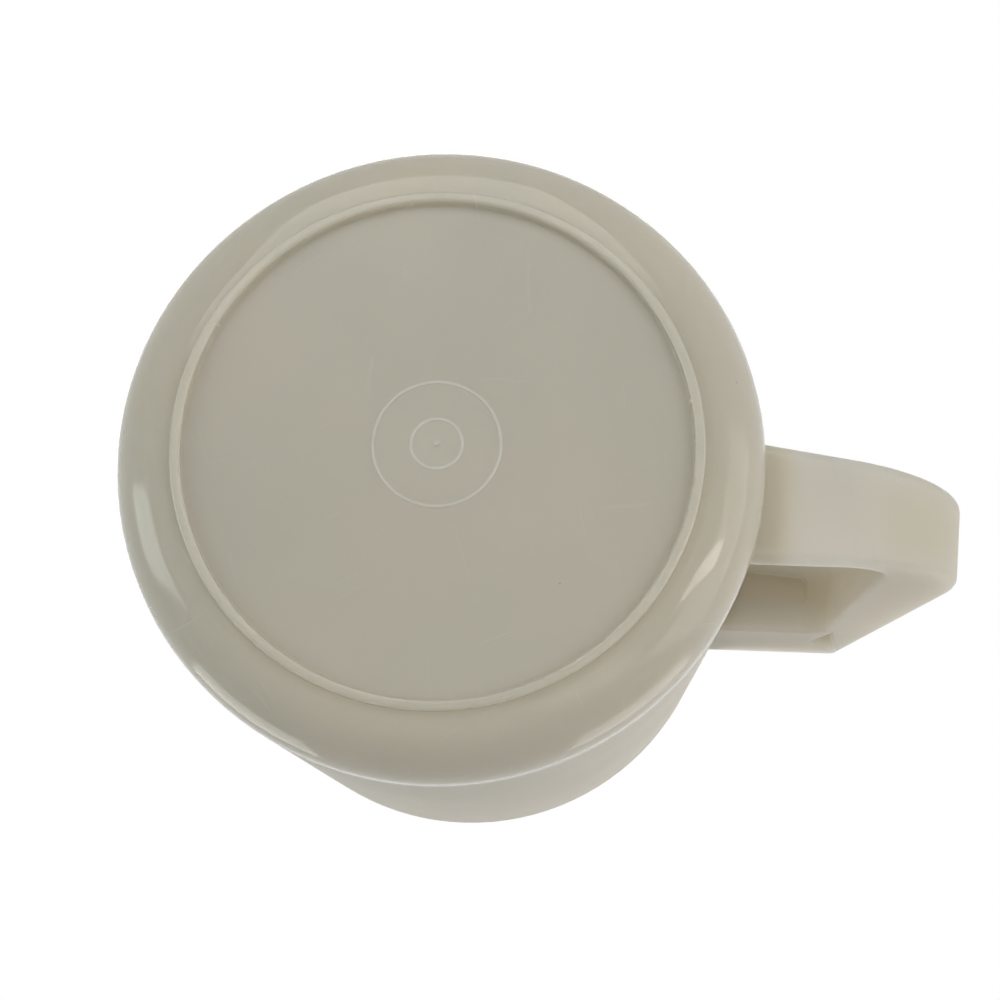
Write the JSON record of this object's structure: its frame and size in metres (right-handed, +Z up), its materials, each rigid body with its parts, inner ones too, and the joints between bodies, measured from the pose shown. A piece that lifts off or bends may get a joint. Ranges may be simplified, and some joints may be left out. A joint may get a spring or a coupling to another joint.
{
  "type": "plastic pitcher",
  "caption": "Empty one-piece milky translucent plastic pitcher of about 1.2 litres, with a pouring lip, a closed handle and a ring foot.",
  "frame": {"origin": "on the axis of the round body, in the plane that the foot ring stands on", "axes": "+Z up along the body's axis, +X towards the handle, the pouring lip at -X"},
  "size_m": [0.1692, 0.1182, 0.134],
  "materials": {
    "plastic": "milky translucent polypropylene, satin to semi-gloss"
  },
  "bodies": {
    "root": {"pitcher": "plastic"}
  },
  "joints": []
}
